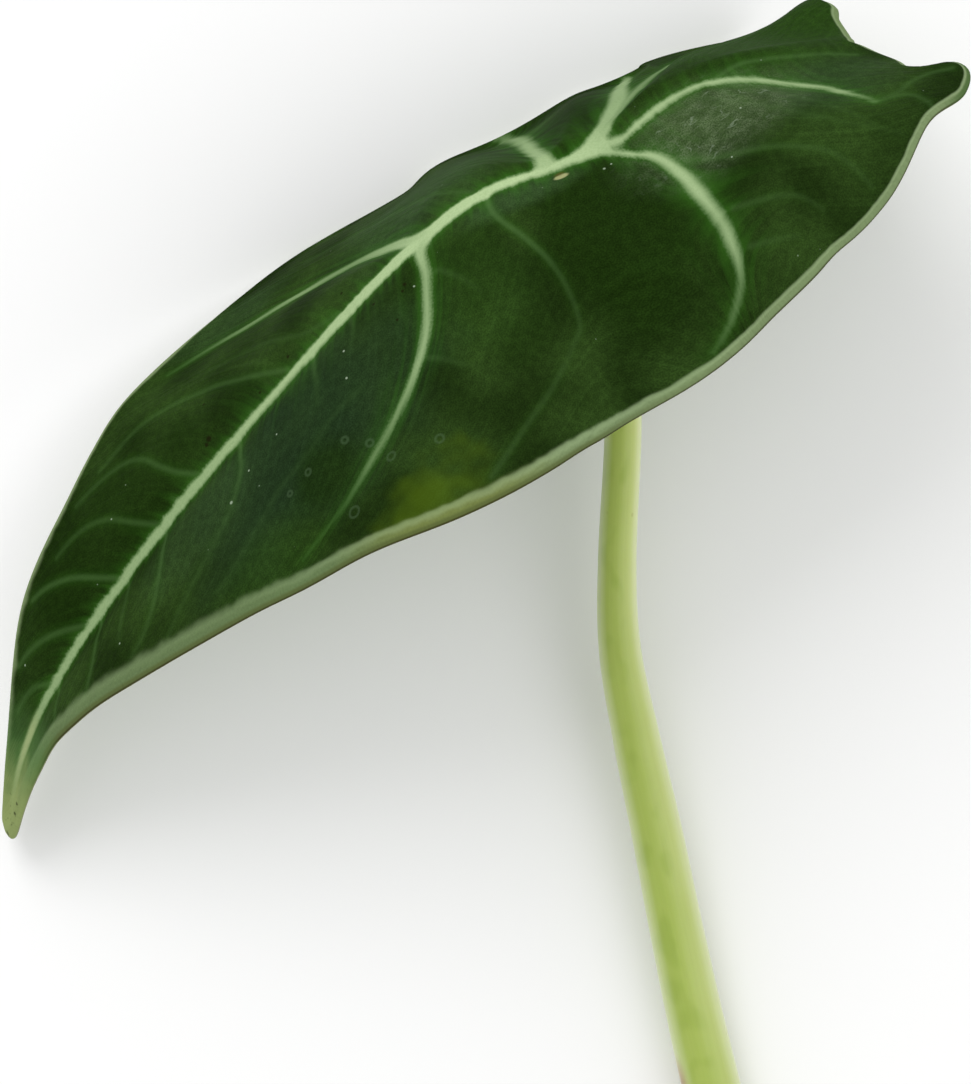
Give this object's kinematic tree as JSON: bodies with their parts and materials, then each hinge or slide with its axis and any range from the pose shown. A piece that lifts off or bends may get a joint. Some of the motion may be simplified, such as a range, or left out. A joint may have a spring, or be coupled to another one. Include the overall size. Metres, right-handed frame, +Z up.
{
  "type": "alocasia leaf",
  "caption": "Cut alocasia leaf lying down: a long arrow-shaped blade with a drooping tip, sunken veins with ribs below and a rolled rim, on a long bent stalk.",
  "frame": {"origin": "centre of the footprint's bounding box, on the surface that the leaf lies on", "axes": "+Y from the stalk's cut end toward the leaf's back lobes, +X from the leaf's tip toward its near back lobe, +Z up from the surface"},
  "size_m": [0.1488, 0.2232, 0.0668],
  "materials": {
    "blade": "matte",
    "stalk": "satin"
  },
  "bodies": {
    "root": {"leaf_blade": "blade", "leaf_stalk": "stalk"}
  },
  "joints": []
}
